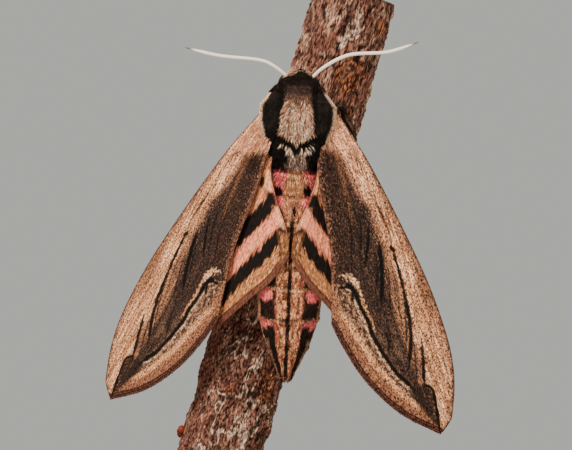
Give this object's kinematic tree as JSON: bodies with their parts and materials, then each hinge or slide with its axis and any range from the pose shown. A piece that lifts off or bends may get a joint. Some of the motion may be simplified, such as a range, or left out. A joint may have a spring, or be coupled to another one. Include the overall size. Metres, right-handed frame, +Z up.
{
  "type": "hawk moth",
  "caption": "Life-size privet hawk moth resting head up on a cut stem, wings half open over a banded body, held by a rod on a flat wooden base.",
  "frame": {"origin": "middle of the underside of the display base", "axes": "+Z up along the moth towards its head, -Y out of the moth's back towards the viewer, +X to the viewer's right"},
  "size_m": [0.072, 0.058, 0.0996],
  "materials": {
    "brown_scales": "matt brown wing and body scales",
    "pink_scales": "matt pink wing scales",
    "black_fur": "matt black-brown hair",
    "grey_fur": "matt grey-brown hair",
    "pale_scales": "matt pinkish-white scales",
    "eye_dark": "glossy dark compound eye",
    "horn_brown": "satin brown horn",
    "bark": "rough red-brown bark",
    "brass": "satin brass",
    "base_wood": "oiled dark wood"
  },
  "bodies": {
    "root": {"thorax": "grey_fur", "head": "grey_fur", "tegula_left": "black_fur", "tegula_right": "black_fur", "abdomen": "brown_scales", "eye_left": "eye_dark", "eye_right": "eye_dark", "antenna_left": "pale_scales", "antenna_right": "pale_scales", "palp_left": "pale_scales", "palp_right": "pale_scales", "proboscis": "horn_brown", "forewing_left": "brown_scales", "forewing_right": "brown_scales", "hindwing_left": "pink_scales", "hindwing_right": "pink_scales", "foreleg_left": "black_fur", "foreleg_right": "black_fur", "midleg_left": "black_fur", "midleg_right": "black_fur", "hindleg_left": "black_fur", "hindleg_right": "black_fur", "perch": "bark", "stand_rod": "brass", "stand_base": "base_wood"}
  },
  "joints": []
}
